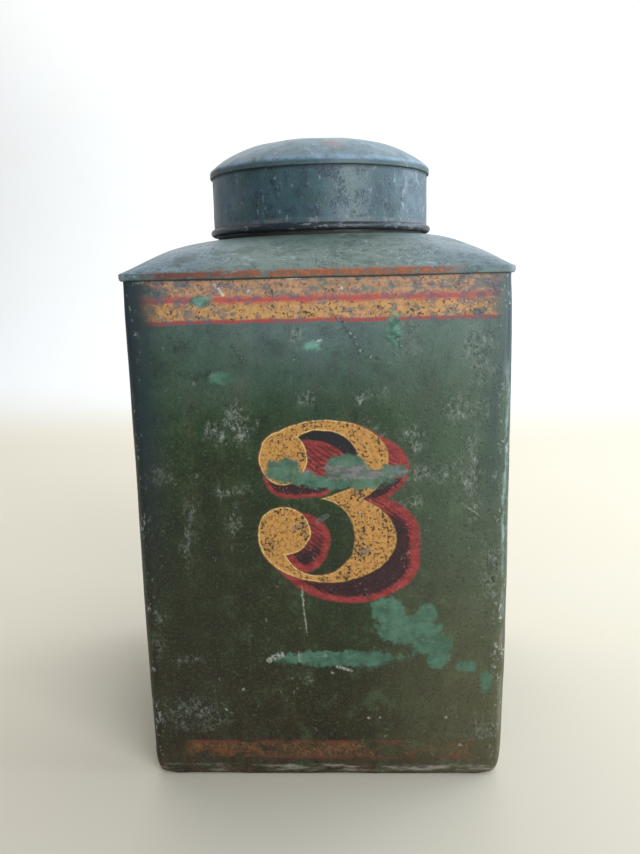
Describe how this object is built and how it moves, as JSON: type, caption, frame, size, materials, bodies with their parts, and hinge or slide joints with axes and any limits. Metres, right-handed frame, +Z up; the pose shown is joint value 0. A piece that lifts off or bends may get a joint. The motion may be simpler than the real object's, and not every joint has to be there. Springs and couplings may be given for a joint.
{
  "type": "tea caddy",
  "caption": "Square painted tinplate tea canister with a raised shoulder, a round neck collar and a domed lid that lifts straight off, for storing loose tea.",
  "frame": {"origin": "centre of the foot, on the plane that the canister stands on", "axes": "+Z up along the axis of lid and neck, -Y towards the front panel, +X to the right seen from the front"},
  "size_m": [0.247, 0.2432, 0.4382],
  "materials": {
    "painted_tinplate": "aged dark green oil paint on tinplate, worn and chipped",
    "bare_tinplate": "dull bare tinplate, browned with age",
    "solder": "dull grey soft solder",
    "iron_wire": "dark rusted iron wire"
  },
  "bodies": {
    "canister": {"wall_front_left": "painted_tinplate", "wall_back_right": "painted_tinplate", "shoulder": "painted_tinplate", "bottom_plate": "bare_tinplate", "neck_collar": "bare_tinplate", "right_seam_solder": "solder", "left_seam_solder": "solder", "foot_solder": "solder", "shoulder_solder": "solder", "collar_solder": "solder", "collar_lap_solder": "solder"},
    "lid": {"lid_band": "painted_tinplate", "lid_wire": "iron_wire", "lid_dome": "painted_tinplate", "dome_solder": "solder", "band_lap_solder": "solder"}
  },
  "joints": [
    {"name": "lid_lift", "type": "slide", "parent": "canister", "child": "lid", "axis": [0, 0, 1], "range_m": [0, 0.06]}
  ]
}
